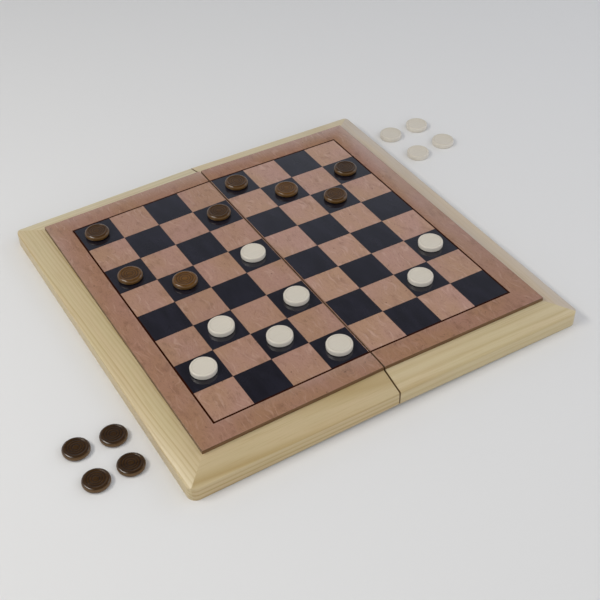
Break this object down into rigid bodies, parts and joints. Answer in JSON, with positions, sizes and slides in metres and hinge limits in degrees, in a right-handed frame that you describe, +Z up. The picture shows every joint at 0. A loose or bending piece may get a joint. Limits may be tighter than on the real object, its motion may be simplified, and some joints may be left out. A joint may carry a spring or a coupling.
{
  "type": "folding games box",
  "caption": "Folding wooden games box, opened flat to an inlaid draughts board in a bevelled mitred frame, with hinged backgammon trays beneath and loose turned draughts.",
  "frame": {"origin": "on the table, under the middle of the fold", "axes": "+Z up from the table, +Y along the fold, +X towards the right half"},
  "size_m": [0.5274, 0.3776, 0.0311],
  "materials": {
    "pine_frame": "clear satin lacquer over straight-grained pine",
    "board_edge": "brown-stained plywood edge",
    "border_veneer": "satin lacquered reddish-brown veneer",
    "light_squares": "satin lacquered reddish-brown veneer",
    "dark_squares": "blue-black dyed veneer under gloss lacquer",
    "dark_line": "dark brown dyed veneer line",
    "tray_lining": "satin lacquered brown veneer",
    "light_points": "satin lacquered pale veneer",
    "dark_points": "satin lacquered dyed veneer",
    "nickel": "nickel plated",
    "brass": "pressed brass, slightly dulled",
    "steel": "drawn wire",
    "brown_draughts": "dark-stained turned wood under gloss lacquer",
    "white_draughts": "ivory-coloured lacquer over turned wood"
  },
  "bodies": {
    "left_half": {"left_outer_rail": "pine_frame", "left_front_rail": "pine_frame", "left_back_rail": "pine_frame", "left_spine_rail": "pine_frame", "left_board_core": "board_edge", "left_border_veneer": "border_veneer", "left_light_squares": "light_squares", "left_dark_squares": "dark_squares", "left_stringing": "dark_line", "left_tray_lining": "tray_lining", "left_light_points": "light_points", "left_dark_points": "dark_points", "left_closing_magnets": "nickel", "front_hinge_left_leaf": "brass", "front_hinge_pin": "steel", "back_hinge_left_leaf": "brass", "back_hinge_pin": "steel", "left_hinge_screws": "brass"},
    "right_half": {"right_outer_rail": "pine_frame", "right_front_rail": "pine_frame", "right_back_rail": "pine_frame", "right_spine_rail": "pine_frame", "right_board_core": "board_edge", "right_border_veneer": "border_veneer", "right_light_squares": "light_squares", "right_dark_squares": "dark_squares", "right_stringing": "dark_line", "right_tray_lining": "tray_lining", "right_light_points": "light_points", "right_dark_points": "dark_points", "right_closing_magnets": "nickel", "front_hinge_right_leaf": "brass", "back_hinge_right_leaf": "brass", "right_hinge_screws": "brass"},
    "brown_draught_01": {"brown_draught_01": "brown_draughts"},
    "brown_draught_02": {"brown_draught_02": "brown_draughts"},
    "brown_draught_03": {"brown_draught_03": "brown_draughts"},
    "brown_draught_04": {"brown_draught_04": "brown_draughts"},
    "brown_draught_05": {"brown_draught_05": "brown_draughts"},
    "brown_draught_06": {"brown_draught_06": "brown_draughts"},
    "brown_draught_07": {"brown_draught_07": "brown_draughts"},
    "brown_draught_08": {"brown_draught_08": "brown_draughts"},
    "brown_draught_09": {"brown_draught_09": "brown_draughts"},
    "brown_draught_10": {"brown_draught_10": "brown_draughts"},
    "brown_draught_11": {"brown_draught_11": "brown_draughts"},
    "brown_draught_12": {"brown_draught_12": "brown_draughts"},
    "white_draught_01": {"white_draught_01": "white_draughts"},
    "white_draught_02": {"white_draught_02": "white_draughts"},
    "white_draught_03": {"white_draught_03": "white_draughts"},
    "white_draught_04": {"white_draught_04": "white_draughts"},
    "white_draught_05": {"white_draught_05": "white_draughts"},
    "white_draught_06": {"white_draught_06": "white_draughts"},
    "white_draught_07": {"white_draught_07": "white_draughts"},
    "white_draught_08": {"white_draught_08": "white_draughts"},
    "white_draught_09": {"white_draught_09": "white_draughts"},
    "white_draught_10": {"white_draught_10": "white_draughts"},
    "white_draught_11": {"white_draught_11": "white_draughts"},
    "white_draught_12": {"white_draught_12": "white_draughts"}
  },
  "joints": [
    {"name": "board_fold", "type": "hinge", "parent": "left_half", "child": "right_half", "pos_m": [0, 0, 0.0025], "axis": [0, 1, 0], "range_deg": [-1.8, 178.2]},
    {"name": "brown_draught_01_lift", "type": "slide", "parent": "left_half", "child": "brown_draught_01", "axis": [-0.0158, 0, 0.9999], "range_m": [0, 0.05]},
    {"name": "brown_draught_02_lift", "type": "slide", "parent": "left_half", "child": "brown_draught_02", "axis": [-0.0158, 0, 0.9999], "range_m": [0, 0.05]},
    {"name": "brown_draught_03_lift", "type": "slide", "parent": "left_half", "child": "brown_draught_03", "axis": [-0.0158, 0, 0.9999], "range_m": [0, 0.05]},
    {"name": "brown_draught_04_lift", "type": "slide", "parent": "left_half", "child": "brown_draught_04", "axis": [-0.0158, 0, 0.9999], "range_m": [0, 0.05]},
    {"name": "brown_draught_05_lift", "type": "slide", "parent": "right_half", "child": "brown_draught_05", "axis": [0.0158, 0, 0.9999], "range_m": [0, 0.05]},
    {"name": "brown_draught_06_lift", "type": "slide", "parent": "right_half", "child": "brown_draught_06", "axis": [0.0158, 0, 0.9999], "range_m": [0, 0.05]},
    {"name": "brown_draught_07_lift", "type": "slide", "parent": "right_half", "child": "brown_draught_07", "axis": [0.0158, 0, 0.9999], "range_m": [0, 0.05]},
    {"name": "brown_draught_08_lift", "type": "slide", "parent": "right_half", "child": "brown_draught_08", "axis": [0.0158, 0, 0.9999], "range_m": [0, 0.05]},
    {"name": "brown_draught_09_lift", "type": "slide", "parent": "left_half", "child": "brown_draught_09", "axis": [0, 0, 1], "range_m": [0, 0.05]},
    {"name": "brown_draught_10_lift", "type": "slide", "parent": "left_half", "child": "brown_draught_10", "axis": [0, 0, 1], "range_m": [0, 0.05]},
    {"name": "brown_draught_11_lift", "type": "slide", "parent": "left_half", "child": "brown_draught_11", "axis": [0, 0, 1], "range_m": [0, 0.05]},
    {"name": "brown_draught_12_lift", "type": "slide", "parent": "left_half", "child": "brown_draught_12", "axis": [0, 0, 1], "range_m": [0, 0.05]},
    {"name": "white_draught_01_lift", "type": "slide", "parent": "left_half", "child": "white_draught_01", "axis": [-0.0158, 0, 0.9999], "range_m": [0, 0.05]},
    {"name": "white_draught_02_lift", "type": "slide", "parent": "left_half", "child": "white_draught_02", "axis": [-0.0158, 0, 0.9999], "range_m": [0, 0.05]},
    {"name": "white_draught_03_lift", "type": "slide", "parent": "left_half", "child": "white_draught_03", "axis": [-0.0158, 0, 0.9999], "range_m": [0, 0.05]},
    {"name": "white_draught_04_lift", "type": "slide", "parent": "left_half", "child": "white_draught_04", "axis": [-0.0158, 0, 0.9999], "range_m": [0, 0.05]},
    {"name": "white_draught_05_lift", "type": "slide", "parent": "left_half", "child": "white_draught_05", "axis": [-0.0158, 0, 0.9999], "range_m": [0, 0.05]},
    {"name": "white_draught_06_lift", "type": "slide", "parent": "left_half", "child": "white_draught_06", "axis": [-0.0158, 0, 0.9999], "range_m": [0, 0.05]},
    {"name": "white_draught_07_lift", "type": "slide", "parent": "right_half", "child": "white_draught_07", "axis": [0.0158, 0, 0.9999], "range_m": [0, 0.05]},
    {"name": "white_draught_08_lift", "type": "slide", "parent": "right_half", "child": "white_draught_08", "axis": [0.0158, 0, 0.9999], "range_m": [0, 0.05]},
    {"name": "white_draught_09_lift", "type": "slide", "parent": "left_half", "child": "white_draught_09", "axis": [0, 0, 1], "range_m": [0, 0.05]},
    {"name": "white_draught_10_lift", "type": "slide", "parent": "left_half", "child": "white_draught_10", "axis": [0, 0, 1], "range_m": [0, 0.05]},
    {"name": "white_draught_11_lift", "type": "slide", "parent": "left_half", "child": "white_draught_11", "axis": [0, 0, 1], "range_m": [0, 0.05]},
    {"name": "white_draught_12_lift", "type": "slide", "parent": "left_half", "child": "white_draught_12", "axis": [0, 0, 1], "range_m": [0, 0.05]}
  ]
}
